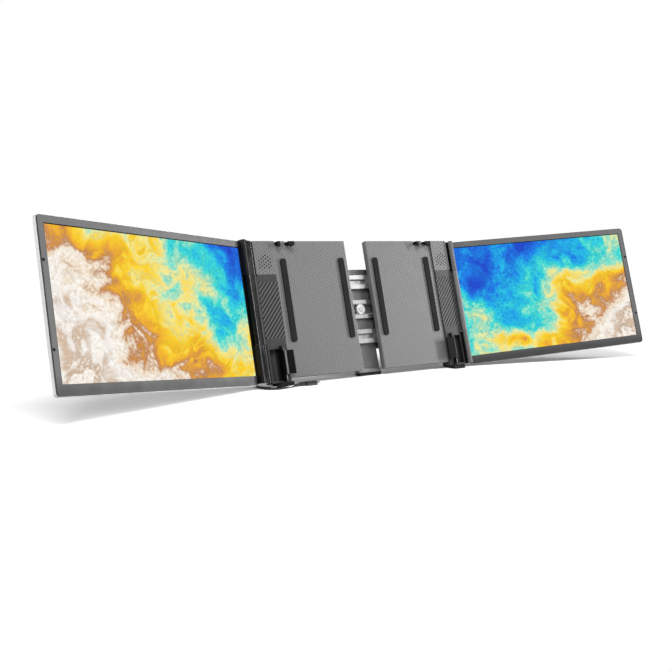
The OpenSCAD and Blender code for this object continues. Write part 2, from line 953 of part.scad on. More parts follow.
module bezel(side) {
  color([0.16, 0.16, 0.17])
    swung(side)
      difference() {
        slab(u0, display_z0, u1, display_z1, v_face, v_glass,
          display_r);
        box(u0 + bezel_near, u0 + bezel_near + active_w,
          0, far, active_z, active_z + active_h);
      }
}

module glass(side) {
  color([0.1, 0.5, 0.75])
    swung(side)
      slab(u0 + shell_t, display_z0 - rim + shell_t,
        u1 + rim - shell_t, display_z1 + rim - shell_t,
        v_glass, v_light, display_r + rim - shell_t);
}

module backlight(side) {
  color([0.9, 0.9, 0.9])
    swung(side)
      slab(u0 + shell_t, active_z - 6, u1 + rim - shell_t,
        display_z1 - 4, v_light, v_board, 2);
}

module display_board(side) {
  color([0.08, 0.3, 0.16])
    swung(side) {
      slab(u0 + board_in, active_z - board_low, u0 + board_in + board_w,
        active_z - board_low + board_h, v_board, v_board + board_t, 1);
      slab(u1 - side_board_in - side_board_w, button_z + side_board_z,
        u1 - side_board_in, button_z + side_board_z + side_board_h,
        v_board, v_board + board_t, 1);
      box(u0 + 60, u0 + 74, v_board + board_t - eps,
        v_board + board_t + chip_t, active_z + 6, active_z + 20);
    }
}

module bumpers(side) {
  color([0.03, 0.03, 0.03])
    swung(side)
      for (z = bumper_z)
        peg(u1 - bumper_in, z, v_face - bumper_out, v_face, bumper_r);
}

module button(side) {
  flange_v = v_back - shell_t - slip;
  color([0.2, 0.2, 0.2])
    swung(side) {
      peg(u1 - button_in, button_z, flange_v - button_flange_t,
        v_back + button_out, button_r);
      peg(u1 - button_in, button_z, flange_v - button_flange_t,
        flange_v, button_r + button_flange);
    }
}

// ---- spine ----
module spine_frame() {
  color([0.35, 0.35, 0.37])
    stand()
      difference() {
        union() {
          slab(-spine_half, spine_z0, spine_half, spine_z1,
            spine_y0, spine_y1, 6);
          box(-shoe_half, shoe_half, spine_y0, spine_y1,
            shoe_z, spine_z0 + 1);
          box(-shoe_half, shoe_half, shoe_y0, shoe_y1,
            shoe_z, shoe_z + 6);
        }
        peg(0, pinion_z, spine_y0 - 1, spine_y1 + 1, axle_r);
        channel_bores(1.5, spine_y0 - 1, spine_y1 - 1);
        spine_cover_bores(1, spine_y0 - 1, spine_y1 + 1);
        spine_cover_bores(2, spine_y0 - 1, spine_y0 + 1.2);
        for (x = [-window_x, window_x])
          slab(x - window_half, window_z[0], x + window_half,
            window_z[1], spine_y0 - 1, spine_y1 + 1, 3);
      }
}

module channel_bores(r, y0, y1) {
  for (z = rail_z)
    for (x = channel_screw_x)
      peg(x, z, y0, y1, r);
}

module spine_cover_bores(r, y0, y1) {
  for (x = spine_screw_x)
    for (z = spine_screw_z)
      peg(x, z, y0, y1, r);
}

module spine_cover() {
  color([0.15, 0.15, 0.16])
    stand()
      difference() {
        union() {
          difference() {
            slab(-spine_half, spine_z0, spine_half, spine_z1,
              spine_y1, cover_y1, 6);
            slab(-spine_half + 2, spine_z0 + 2, spine_half - 2,
              spine_z1 - 2, spine_y1 - 1, cover_y1 - 1.8, 4);
          }
          spine_cover_bores(3, spine_y1, cover_y1 - 1);
          for (s = [-1, 1])
            kick_ear(s);
        }
        spine_cover_bores(1, spine_y1 - 1, cover_y1 - 3);
        bar(-kick_half - kick_gap - ear_w - 1,
          kick_half + kick_gap + ear_w + 1, kick_y, kick_z,
          kick_pin_r);
      }
}

// round-ended ear that carries the kickstand pin
module kick_ear(s) {
  x0 = s > 0 ? kick_half + kick_gap : -kick_half - kick_gap - ear_w;
  bar(x0, x0 + ear_w, kick_y, kick_z, kick_knuckle_r);
  box(x0, x0 + ear_w, cover_y1 - 1, kick_y,
    kick_z - kick_knuckle_r, kick_z + kick_knuckle_r);
}

// the two C channels that the rails run in
module rail_channels() {
  color([0.55, 0.55, 0.57])
    stand()
      difference() {
        for (z = rail_z)
          difference() {
            box(-channel_half, channel_half,
              rail_y1 - slip - channel_lip, spine_y0,
              z - rail_flange / 2 - slip - channel_t,
              z + rail_flange / 2 + slip + channel_t);
            box(-channel_half - 1, channel_half + 1, rail_y1 - slip,
              channel_y, z - rail_flange / 2 - slip,
              z + rail_flange / 2 + slip);
            box(-channel_half - 1, channel_half + 1, rail_y0,
              rail_y1, z - rail_web / 2 - slip,
              z + rail_web / 2 + slip);
          }
        channel_bores(1.5, channel_y - 1, spine_y0 + 1);
        channel_bores(2.6, channel_y - 1, channel_y + 1.4);
      }
}

module pinion_axle() {
  color([0.7, 0.7, 0.72])
    stand() {
      peg(0, pinion_z, gear_y0 - 0.3 - eps, spine_y1, axle_r);
      peg(0, pinion_z, gear_y0 - 1.5, gear_y0 - 0.3, axle_r + 1.5);
      difference() {
        peg(0, pinion_z, gear_y1 + 0.3, spine_y0, axle_r + 1.5);
        peg(0, pinion_z, gear_y1, spine_y0 + 1, axle_r - eps);
      }
    }
}

module centre_foot() {
  color([0.07, 0.07, 0.07])
    stand()
      intersection() {
        box(-shoe_half, shoe_half, shoe_y0, shoe_y1, -12, shoe_z);
        above_desk();
      }
}

module spine_screws() {
  color([0.7, 0.7, 0.72])
    stand() {
      for (z = rail_z)
        for (x = channel_screw_x)
          screw(x, z, spine_y1 - 1, channel_y + 0.2, 1.5, 2.6, 1.2);
      for (x = spine_screw_x)
        for (z = spine_screw_z)
          screw(x, z, cover_y1 - 3, spine_y0, 1, 2, 1.2);
    }
}

module kickstand_pin() {
  color([0.7, 0.7, 0.72])
    stand()
      bar(-kick_half - kick_gap - ear_w,
        kick_half + kick_gap + ear_w, kick_y, kick_z, kick_pin_r);
}

// the leg is drawn hanging from its hinge and swung back
module kick_frame() {
  stand()
    translate([0, kick_y, kick_z])
      rotate([kick_open, 0, 0])
        children();
}

module kickstand_leg() {
  color([0.5, 0.51, 0.53])
    kick_frame()
      difference() {
        union() {
          bar(-kick_half, kick_half, 0, 0, kick_knuckle_r);
          slab(-kick_half, -kick_len + kick_cap - 2, kick_half, 0,
            -kick_t / 2, kick_t / 2, 3);
          box(-kick_half, kick_half, -kick_t / 2, kick_t / 2, -10, 0);
        }
        bar(-kick_half - 1, kick_half + 1, 0, 0, kick_pin_r + fit);
        slab(-kick_half + 14, -kick_len + 38, kick_half - 14, -26,
          -5, 5, 6);
      }
}

module kickstand_foot() {
  color([0.07, 0.07, 0.07])
    difference() {
      intersection() {
        kick_frame()
          slab(-kick_half - 2, -kick_len - 6, kick_half + 2,
            -kick_len + kick_cap, -kick_t / 2 - 2, kick_t / 2 + 2, 2);
        translate([-far, -far, 0])
          cube([2 * far, 2 * far, far]);
      }
      kick_frame()
        slab(-kick_half, -kick_len + kick_cap - 2, kick_half, 0,
          -kick_t / 2, kick_t / 2, 3);
    }
}

// ---- cord ----
function unit(v) = v / norm(v);
function along(p, i) = unit(p[min(i + 1, len(p) - 1)] - p[max(i - 1, 0)]);
function ring(p, i, r, n) =
  let (d = along(p, i), s = unit(cross(d, [0, 0, 1])), t = cross(s, d))
  [for (k = [0 : n - 1])
    p[i] + r * cos(360 * (k + 0.5) / n) * s
      + r * sin(360 * (k + 0.5) / n) * t];

module tube(path, r, n) {
  count = len(path);
  points = [for (i = [0 : count - 1]) each ring(path, i, r, n)];
  sides = [for (i = [0 : count - 2]) for (k = [0 : n - 1])
    [i * n + k, i * n + (k + 1) % n,
     (i + 1) * n + (k + 1) % n, (i + 1) * n + k]];
  first = [for (k = [0 : n - 1]) n - 1 - k];
  last = [for (k = [0 : n - 1]) (count - 1) * n + k];
  polyhedron(points = points, faces = concat(sides, [first], [last]));
}

module coil() {
  translate([coil_x, coil_y, 0])
    rotate_extrude()
      union() {
        for (k = [-1 : 1])
          translate([coil_r + k * coil_step, cord_d / 2])
            circle(r = cord_d / 2);
        for (k = [-0.5, 0.5])
          translate([coil_r + k * coil_step,
            cord_d / 2 + coil_step * sin(60)])
            circle(r = cord_d / 2);
      }
}

// the free lead on the desk and the short end to the port
module cord() {
  color([0.05, 0.05, 0.05]) {
    tube(lead_path, cord_d / 2, 10);
    tube(tail_path, cord_d / 2, 10);
  }
}

module cord_coil() {
  color([0.05, 0.05, 0.05])
    coil();
}

// reversible plug: metal tip, moulded boot and strain relief, tip in +X
module plug() {
  relief = 10;
  boot = 18;
  tip = 6.6;
  rotate([0, 90, 0])
    cylinder(h = relief + 1, r = cord_d / 2 + 0.5);
  for (i = [0 : 3])
    translate([2 + i * 2.2, 0, 0])
      rotate([0, 90, 0])
        cylinder(h = 1.1, r = cord_d / 2 + 0.9);
  translate([relief, 0, 0])
    rotate([90, 0, 90])
      linear_extrude(height = boot)
        rounded(-5.4, -3, 5.4, 3, 2.4);
  translate([relief + boot - 1, 0, 0])
    difference() {
      rotate([90, 0, 90])
        linear_extrude(height = tip + 1)
          rounded(-4.13, -1.2, 4.13, 1.2, 1.15);
      translate([2, 0, 0])
        rotate([90, 0, 90])
          linear_extrude(height = tip + 1)
            rounded(-3.7, -0.8, 3.7, 0.8, 0.75);
    }
}

// the free plug lies on the desk and the other sits in the port
module cord_plugs() {
  color([0.08, 0.08, 0.08]) {
    translate(lead_path[0])
      plug();
    stand()
      translate([-port_x, port_y + plug_len, port_z])
        rotate([0, 0, -90])
          plug();
  }
}

spine_frame();
spine_cover();
rail_channels();
pinion_axle();
pinion_shape();  // pinion
centre_foot();
kickstand_pin();
spine_screws();
kickstand_leg();
kickstand_foot();
housing(-1);  // left_housing
rear_cover(-1);  // left_cover
grille(-1);  // left_grille
speaker(-1);  // left_speaker
insert(-1);  // left_insert
rails(-1);  // left_rails
rack(-1);  // left_rack
lid_pads(-1);  // left_lid_pads
foot_pad(-1);  // left_foot_pad
board(-1);  // left_board
pins(-1);  // left_pins
half_screws(-1);  // left_screws
flap(-1);  // left_flap
flap_pad(-1);  // left_flap_pad
clip(-1);  // left_clip
link(-1);  // left_link
link_pins(-1);  // left_link_pins
shell(-1);  // left_shell
bezel(-1);  // left_bezel
glass(-1);  // left_glass
backlight(-1);  // left_backlight
display_board(-1);  // left_display_board
bumpers(-1);  // left_bumpers
button(-1);  // left_button
housing(1);  // right_housing
rear_cover(1);  // right_cover
grille(1);  // right_grille
speaker(1);  // right_speaker
insert(1);  // right_insert
rails(1);  // right_rails
rack(1);  // right_rack
lid_pads(1);  // right_lid_pads
foot_pad(1);  // right_foot_pad
board(1);  // right_board
pins(1);  // right_pins
half_screws(1);  // right_screws
flap(1);  // right_flap
flap_pad(1);  // right_flap_pad
clip(1);  // right_clip
shell(1);  // right_shell
bezel(1);  // right_bezel
glass(1);  // right_glass
backlight(1);  // right_backlight
display_board(1);  // right_display_board
bumpers(1);  // right_bumpers
button(1);  // right_button
cord();
cord_coil();
cord_plugs();
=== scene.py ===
import math

import bpy
from mathutils import Matrix, Vector


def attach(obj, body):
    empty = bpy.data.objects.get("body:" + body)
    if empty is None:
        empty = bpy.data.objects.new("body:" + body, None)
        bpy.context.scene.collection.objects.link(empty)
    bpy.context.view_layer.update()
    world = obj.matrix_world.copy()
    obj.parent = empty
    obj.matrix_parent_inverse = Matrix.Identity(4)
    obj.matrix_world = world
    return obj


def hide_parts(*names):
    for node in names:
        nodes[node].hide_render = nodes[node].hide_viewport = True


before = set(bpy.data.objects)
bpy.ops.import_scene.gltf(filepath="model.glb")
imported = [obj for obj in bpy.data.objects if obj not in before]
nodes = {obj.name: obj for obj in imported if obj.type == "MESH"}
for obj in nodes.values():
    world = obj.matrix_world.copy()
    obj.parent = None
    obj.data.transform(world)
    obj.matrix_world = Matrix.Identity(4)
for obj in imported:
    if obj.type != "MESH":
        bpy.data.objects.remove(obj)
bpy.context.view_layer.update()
scene = bpy.context.scene

# ---------------------------------------------------------------- stance
LEAN = math.radians(15.0)
HINGE_H = 0.0089
FOOT_Y = 0.024377


def place(x, y, z):
    """A point of the leaned drawing, in millimetres, in the row frame."""
    c, s = math.cos(LEAN), math.sin(LEAN)
    return Vector((
        x / 1000,
        (y * c + z * s) / 1000 - FOOT_Y,
        HINGE_H + (z * c - y * s) / 1000,
    ))


# ---------------------------------------------------------------- camera
cam_data = bpy.data.cameras.new("camera")
cam = bpy.data.objects.new("camera", cam_data)
scene.collection.objects.link(cam)
right = Vector((0.819184, -0.573523, -0.003167))
up = Vector((0.059051, 0.07885, 0.995136))
ahead = Vector((0.570483, 0.815387, -0.09846))
turn = Matrix((right, up, -ahead)).transposed().to_4x4()
cam.matrix_world = Matrix.Translation((-0.892093, -1.183062, 0.209763)) @ turn
cam_data.sensor_width = 36.0
cam_data.lens = 49.347
cam_data.clip_start = 0.01
cam_data.clip_end = 50.0
scene.camera = cam

# ---------------------------------------------------------------- cord
CORD_D = 0.0042
LEAD = [
    (-156, -37, 3.0), (-163, -37.7, 2.6), (-172, -39.9, 2.1),
    (-182, -42.9, 2.1), (-192, -45.2, 2.1), (-201, -45.2, 2.1),
    (-209, -42.0, 2.1), (-214.5, -35.6, 2.1), (-217.3, -27, 2.1),
    (-217.5, -16, 2.1), (-217.5, -4, 2.1), (-217.2, 10, 2.1),
    (-216.8, 24, 2.1), (-216.2, 37, 2.1), (-215.7, 48, 3.4),
    (-215.3, 56, 5.2), (-215.2, 63, 6.2), (-215.2, 69.5, 5.9),
    (-215.2, 75, 5.7),
]
TAIL = [
    (-162.7, 75, 2.1), (-162.8, 66.5, 2.1), (-163.4, 58, 2.1),
    (-164.4, 50, 2.4), (-165.3, 43, 3.6), (-165.8, 37, 5.5),
    (-166, 31.8, 7.1), tuple(1000 * v for v in place(-166, 49.5, 12.8)),
]
COIL = Vector((-190, 75, 0))


def smooth(a, b, t):
    t = min(1.0, max(0.0, t))
    return a + (b - a) * t * t * (3 - 2 * t)


def coil_point(angle):
    """A point of the coil at an angle in degrees from where the short end meets it."""
    r, z = 27.25, 2.1
    for start in (300, 660):
        r = smooth(r, r - 4.15, (angle - start) / 60)
    r = smooth(r, 21.03, (angle - 1020) / 60)
    r = smooth(r, 25.18, (angle - 1380) / 60)
    z = smooth(z, 6.3, (angle - 925) / 110)
    z = smooth(z, 5.7, (angle - 1065) / 45)
    a = math.radians(angle)
    return COIL + Vector((r * math.cos(a), r * math.sin(a), z))


def spline(points, steps):
    """Points along a smooth line through the given ones."""
    p = [Vector(q) for q in points]
    p = [2 * p[0] - p[1]] + p + [2 * p[-1] - p[-2]]
    found = []
    for i in range(1, len(p) - 2):
        for k in range(steps):
            t = k / steps
            a, b, c, d = p[i - 1], p[i], p[i + 1], p[i + 2]
            found.append(0.5 * (
                2 * b + (c - a) * t + (2 * a - 5 * b + 4 * c - d) * t * t
                + (3 * b - a - 3 * c + d) * t ** 3
            ))
    return found + [p[-2]]


route = spline(TAIL[::-1], 4)[:-1]
route += [coil_point(a) for a in range(0, 1620, 6)]
route += spline(LEAD[::-1], 4)
route = [p / 1000 for p in route]

curve = bpy.data.curves.new("power_cord", "CURVE")
curve.dimensions = "3D"
curve.bevel_depth = 1.0
curve.bevel_resolution = 4
curve.use_fill_caps = True
line = curve.splines.new("POLY")
line.points.add(len(route) - 1)
for point, p in zip(line.points, route):
    point.co = (*p, 1)
    point.radius = CORD_D / 2
cord = bpy.data.objects.new("power_cord", curve)
scene.collection.objects.link(cord)
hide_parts("cord", "cord_coil")
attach(cord, "left_half")


# ---------------------------------------------------------------- displays
AXIS1 = (202.4, 1.6)
LINK = (17.28, math.radians(33.0))
SWING = {-1: math.radians(20.1), 1: math.radians(16.3)}
SCREEN = (6.9, 349.7, 10.3, 202.4)
FACE = 6.15
OUTER = 360.1
TOP = 212.8
# metres of the leaned drawing: along a display from its hinge axis
HINGE_END = 0.0047
STRIP_END = 0.0066
# across from the middle, and in depth
COLUMN_IN, COLUMN_OUT = 0.1585, 0.1945
TROUGH_X, FLAP_X = 0.1826, 0.1704
COLUMN_FRONT, PLATE_FRONT = 0.0045, 0.007
HAIR = 0.00005


def axis_of(side):
    """The display's hinge axis, in millimetres of the leaned drawing."""
    if side > 0:
        return AXIS1
    return (AXIS1[0] + LINK[0] * math.cos(LINK[1]),
            AXIS1[1] - LINK[0] * math.sin(LINK[1]))


# ---------------------------------------------------------------- materials
class Nodes:
    """A material's node tree with short calls."""

    def __init__(self, name):
        self.mat = bpy.data.materials.new(name)
        self.mat.use_nodes = True
        self.tree = self.mat.node_tree
        self.tree.nodes.clear()
        self.out = self.add("ShaderNodeOutputMaterial")

    def add(self, kind, inputs=None, **props):
        n = self.tree.nodes.new(kind)
        for k, v in props.items():
            setattr(n, k, v)
        for k, v in (inputs or {}).items():
            self.put(n.inputs[k], v)
        return n

    def put(self, socket, value):
        if isinstance(value, bpy.types.NodeSocket):
            self.tree.links.new(value, socket)
        else:
            socket.default_value = value

    def math(self, op, a, b=0.0, c=0.0):
        n = self.add("ShaderNodeMath", {0: a, 1: b, 2: c}, operation=op)
        return n.outputs[0]

    def mix(self, factor, a, b):
        n = self.add("ShaderNodeMix", data_type="RGBA")
        self.put(n.inputs["Factor"], factor)
        self.put(n.inputs[6], a)
        self.put(n.inputs[7], b)
        return n.outputs[2]

    def local(self):
        """Coordinates of the leaned drawing in metres."""
        tc = self.add("ShaderNodeTexCoord")
        sub = self.add("ShaderNodeVectorMath",
                       {0: tc.outputs["Object"], 1: (0, -FOOT_Y, HINGE_H)},
                       operation="SUBTRACT")
        rot = self.add("ShaderNodeVectorRotate",
                       {"Vector": sub.outputs[0], "Angle": LEAN},
                       rotation_type="X_AXIS")
        return rot.outputs[0]

    def xyz(self, vector):
        n = self.add("ShaderNodeSeparateXYZ", {0: vector})
        return n.outputs[0], n.outputs[1], n.outputs[2]

    def noise(self, vector, scale, detail=3.0, rough=0.5, distortion=0.0):
        n = self.add("ShaderNodeTexNoise", {
            "Vector": vector, "Scale": scale, "Detail": detail,
            "Roughness": rough, "Distortion": distortion})
        return n.outputs[0]

    def span(self, value, low, high, to_low=0.0, to_high=1.0):
        n = self.add("ShaderNodeMapRange", {
            0: value, 1: low, 2: high, 3: to_low, 4: to_high})
        return n.outputs[0]

    def bevel(self, radius):
        return self.add("ShaderNodeBevel", {"Radius": radius}, samples=4).outputs[0]

    def bump(self, height, strength, distance, normal=None):
        n = self.add("ShaderNodeBump", {
            "Height": height, "Strength": strength, "Distance": distance})
        if normal is not None:
            self.put(n.inputs["Normal"], normal)
        return n.outputs[0]

    def shade(self, **inputs):
        n = self.add("ShaderNodeBsdfPrincipled")
        for k, v in inputs.items():
            self.put(n.inputs[k.replace("_", " ")], v)
        self.put(self.out.inputs["Surface"], n.outputs[0])
        return n


def rgb(level, warm=0.0):
    """A grey of that sRGB level, 0 to 255, as a linear colour."""
    c = level / 255
    v = c / 12.92 if c <= 0.04045 else ((c + 0.055) / 1.055) ** 2.4
    return (v * (1 + warm), v, v * (1 - warm), 1.0)


def finish_of(name, colour, rough, metal=0.0, grain=900.0, depth=0.00004,
              vary=0.08, edge=0.0003, coat=0.0, stretch=(1, 1, 1), dark=0.85,
              sheen=0.5):
    """A satin or matt surface with grain, uneven gloss and softened edges."""
    m = Nodes(name)
    at = m.local()
    if stretch != (1, 1, 1):
        at = m.add("ShaderNodeVectorMath", {0: at, 1: stretch},
                   operation="MULTIPLY").outputs[0]
    fine = m.noise(at, grain, 2.0)
    broad = m.noise(at, grain / 30, 4.0)
    shade = m.mix(m.span(broad, 0.35, 0.65),
                  tuple(c * dark for c in colour[:3]) + (1.0,), colour)
    m.shade(Base_Color=shade, Metallic=metal,
            Roughness=m.span(broad, 0.3, 0.7, rough - vary, rough + vary),
            Specular_IOR_Level=sheen,
            Coat_Weight=coat, Coat_Roughness=0.08,
            Normal=m.bump(fine, 0.5, depth, m.bevel(edge)))
    return m.mat


def across(m, side):
    """Distance from a display's hinge axis along the display, and the height."""
    ax, ay = axis_of(side)
    x, y, z = m.xyz(m.local())
    dx = m.math("MULTIPLY_ADD", x, side, -ax / 1000)
    dy = m.math("SUBTRACT", y, ay / 1000)
    u = m.math("SUBTRACT", m.math("MULTIPLY", dx, math.cos(SWING[side])),
               m.math("MULTIPLY", dy, math.sin(SWING[side])))
    return u, z


def shell_material(side):
    """Blasted silver back whose hinge end is dark, with painted light: the hinge end is
    near-black as shade on the left and mid-grey as lit on the right, and a painted highlight
    runs along the outer rim.
    """
    m = Nodes("shell_blasted_painted_light_left" if side < 0 else "shell_blasted_painted_light_right")
    u, z = across(m, side)
    at = m.local()
    near = m.math("LESS_THAN", u, HINGE_END)
    fine = m.noise(at, 2200.0, 2.0)
    broad = m.noise(at, 70.0, 4.0)
    # painted light: one dark hinge finish, near-black as shade on the left, mid-grey as lit on
    # the right
    dark = rgb(10) if side < 0 else rgb(84)
    silver = m.mix(broad, rgb(168), rgb(174))
    # painted highlight: the rim beyond the bezel is painted light silver
    edge = m.math("GREATER_THAN", u, OUTER / 1000 + 0.0002)
    silver = m.mix(edge, silver, rgb(214))
    m.shade(Base_Color=m.mix(near, silver, dark),
            Metallic=m.math("MULTIPLY_ADD", near, -0.5, 0.5),
            Specular_IOR_Level=m.math("MULTIPLY_ADD", near, -0.3, 0.5),
            Roughness=m.span(broad, 0.3, 0.7, 0.36, 0.4),
            Normal=m.bump(fine, 0.5, 0.00003, m.bevel(0.0007)))
    return m.mat


def bezel_material(side):
    """Satin grey bezel with a near-black outer and top rim, painted shade darkening it towards
    the bottom, and on the left display a near-black strip beside the hinge painted as shade.
    """
    m = Nodes("bezel_satin_painted_shade_left" if side < 0 else "bezel_satin_painted_shade_right")
    u, z = across(m, side)
    at = m.local()
    fine = m.noise(at, 1800.0, 2.0)
    broad = m.noise(at, 60.0, 4.0)
    lip_and_shade_strip = m.math("GREATER_THAN", u, (OUTER - 1.5) / 1000)
    lip_and_shade_strip = m.math("MAXIMUM", lip_and_shade_strip, m.math("GREATER_THAN", z, (TOP - 0.5) / 1000))
    # painted shade: on the left display the strip beside the hinge barrel is near-black
    if side < 0:
        lip_and_shade_strip = m.math("MAXIMUM", lip_and_shade_strip, m.math("LESS_THAN", u, STRIP_END))
    grey = m.mix(broad, rgb(70), rgb(78))
    # painted shade: the bezel grows darker towards its bottom edge
    grey = m.mix(m.span(z, 0.002, 0.022, 1.0, 0.0), grey, rgb(42))
    m.shade(Base_Color=m.mix(lip_and_shade_strip, grey, rgb(10)), Metallic=0.0,
            Roughness=m.span(broad, 0.3, 0.7, 0.42, 0.52),
            Specular_IOR_Level=0.25,
            Normal=m.bump(fine, 0.5, 0.00002, m.bevel(0.0003)))
    return m.mat


PITCH, ROW, FIELD_TOP = 0.0079, 0.0028, 0.1933
FIELD_LEFT, FIELD_RIGHT = -0.1745, 0.1785


def dimple_field(m, x, z):
    """1 in the middle of each dimple of a staggered field, 0 between them."""
    middle = m.math("MULTIPLY_ADD", m.math("GREATER_THAN", x, 0.0),
                    FIELD_RIGHT - FIELD_LEFT, FIELD_LEFT)
    line = m.math("MULTIPLY_ADD", m.math("SUBTRACT", z, FIELD_TOP), 1 / ROW, 0.5)
    number = m.math("FLOOR", line)
    odd = m.math("MULTIPLY", m.math("MODULO", m.math("ABSOLUTE", number), 2.0), 0.5)
    u = m.math("MULTIPLY_ADD", m.math("SUBTRACT", x, middle), 1 / PITCH, 0.5)
    u = m.math("SUBTRACT", m.math("FRACT", m.math("ADD", u, odd)), 0.5)
    v = m.math("SUBTRACT", m.math("FRACT", line), 0.5)
    du = m.math("MULTIPLY", u, PITCH)
    dv = m.math("MULTIPLY", v, ROW)
    far = m.math("SQRT", m.math("ADD", m.math("MULTIPLY", du, du), m.math("MULTIPLY", dv, dv)))
    return m.span(far, 0.0005, 0.0012, 1.0, 0.0)


def housing_material():
    """Dark columns with painted shade in the slots, trough depths and plate dimples, middle
    knuckles painted dark as shade on the left and lit grey on the right, and grey dimpled rear
    plates.
    """
    m = Nodes("housing_finish_painted_light")
    at = m.local()
    x, y, z = m.xyz(at)
    wide = m.math("ABSOLUTE", x)
    plate = m.math("LESS_THAN", wide, COLUMN_IN - HAIR)
    front = m.math("LESS_THAN", y, PLATE_FRONT + HAIR)
    field = m.math("MULTIPLY", dimple_field(m, x, z), m.math("MULTIPLY", plate, front))
    proud = m.math("LESS_THAN", y, COLUMN_FRONT - 2 * HAIR)
    beside = m.math("GREATER_THAN", wide, COLUMN_OUT + 0.0015)
    barrel = m.math("MULTIPLY", proud, beside)
    lug = m.math("MULTIPLY", proud, m.math("SUBTRACT", 1.0, beside))
    # painted shade: the flange seen through the slot beside the barrel is near-black
    slot = m.math("MULTIPLY", m.math("GREATER_THAN", y, COLUMN_FRONT + 2 * HAIR),
                  m.math("GREATER_THAN", wide, COLUMN_OUT + 3 * HAIR))
    left = m.math("LESS_THAN", x, 0.0)
    fine = m.noise(at, 1500.0, 2.0)
    broad = m.noise(at, 40.0, 3.0)
    dark = m.mix(broad, rgb(43), rgb(51))
    # painted light: the middle knuckles share one finish, dark as shade on the left and lit
    # grey on the right
    dark = m.mix(barrel, dark, m.mix(left, rgb(96), rgb(22)))
    dark = m.mix(m.math("MAXIMUM", slot, lug), dark, rgb(10))
    # painted shade: the deep part of each trough is near-black
    inside = m.math("MULTIPLY", m.math("LESS_THAN", wide, COLUMN_OUT - 0.0019),
                    m.math("GREATER_THAN", wide, COLUMN_IN + 0.0005))
    trough = m.math("MULTIPLY", m.math("GREATER_THAN", y, COLUMN_FRONT + 0.0017), inside)
    middle = m.math("MULTIPLY_ADD", m.math("GREATER_THAN", x, 0.0),
                    2 * TROUGH_X, -TROUGH_X)
    deep = m.span(m.math("SUBTRACT", x, middle), 0.0035, 0.006)
    dark = m.mix(m.math("MULTIPLY", trough, deep), dark, rgb(12))
    grey = m.mix(fine, rgb(84), rgb(98))
    # painted shade in the dimples of the rear plates
    grey = m.mix(m.math("MULTIPLY", field, 0.7), grey, rgb(40))
    normal = m.bump(field, 0.5, -0.0004, m.bevel(0.0005))
    m.shade(Base_Color=m.mix(plate, dark, grey), Metallic=0.05,
            Roughness=m.math("ADD", m.math("MULTIPLY", plate, 0.1),
                             m.span(broad, 0.3, 0.7, 0.34, 0.42)),
            Specular_IOR_Level=m.math("MULTIPLY_ADD", plate, 0.1, 0.2),
            Normal=m.bump(fine, 0.3, 0.00005, normal))
    return m.mat


def grille_material():
    """Grey panel with painted shade in a staggered field of dimples and in its bores."""
    m = Nodes("grille_finish_painted_shade")
    at = m.local()
    x, y, z = m.xyz(at)
    field = dimple_field(m, x, z)
    fine = m.noise(at, 1200.0, 2.0)
    # painted shade in the dimples
    shade = m.mix(m.math("MULTIPLY", field, 0.9), rgb(92), rgb(12))
    shade = m.mix(m.math("MULTIPLY", fine, 0.15), shade, rgb(76))
    # painted shade: the bore walls behind the front face are near-black
    shade = m.mix(m.math("GREATER_THAN", y, COLUMN_FRONT + 4 * HAIR), shade, rgb(6))
    normal = m.bump(field, 0.5, -0.0004, m.bevel(0.0004))
    m.shade(Base_Color=shade, Metallic=0.0, Roughness=0.46,
            Specular_IOR_Level=0.25,
            Normal=m.bump(fine, 0.3, 0.00004, normal))
    return m.mat


def insert_material():
    """Grey insert whose grooves are painted darker than its ribs as shade."""
    m = Nodes("insert_finish_painted_shade")
    at = m.local()
    x, y, z = m.xyz(at)
    # painted shade: the grooves darken by depth
    groove = m.span(y, COLUMN_FRONT + 3 * HAIR, COLUMN_FRONT + 8 * HAIR)
    fine = m.noise(at, 1800.0, 2.0)
    rib = m.mix(fine, rgb(62), rgb(71))
    m.shade(Base_Color=m.mix(groove, rib, rgb(18)), Metallic=0.0,
            Roughness=0.5, Specular_IOR_Level=0.2,
            Normal=m.bump(fine, 0.3, 0.00004, m.bevel(0.0002)))
    return m.mat


def flap_material():
    """Black flap whose pivot bar is painted lit grey on its right half and shaded black on its
    left.
    """
    m = Nodes("flap_satin_painted_light")
    at = m.local()
    x, y, z = m.xyz(at)
    dx = m.math("SUBTRACT", m.math("ABSOLUTE", x), FLAP_X)
    turn = m.math("MULTIPLY_ADD", m.math("GREATER_THAN", x, 0.0), 2.0, -1.0)
    # painted light: only the right half of the pivot bar is lit grey; its left half is left
    # black as shade
    bar = m.math("MULTIPLY", m.math("GREATER_THAN", dx, -0.0036),
                 m.math("GREATER_THAN", m.math("MULTIPLY", dx, turn), 0.0004))
    fine = m.noise(at, 1200.0, 2.0)
    grey = m.mix(fine, rgb(82), rgb(96))
    m.shade(Base_Color=m.mix(bar, rgb(9), grey), Metallic=0.0,
            Roughness=m.span(fine, 0.3, 0.7, 0.3, 0.4),
            Specular_IOR_Level=m.math("MULTIPLY_ADD", bar, 0.2, 0.05),
            Normal=m.bump(fine, 0.3, 0.00003, m.bevel(0.0006)))
    return m.mat


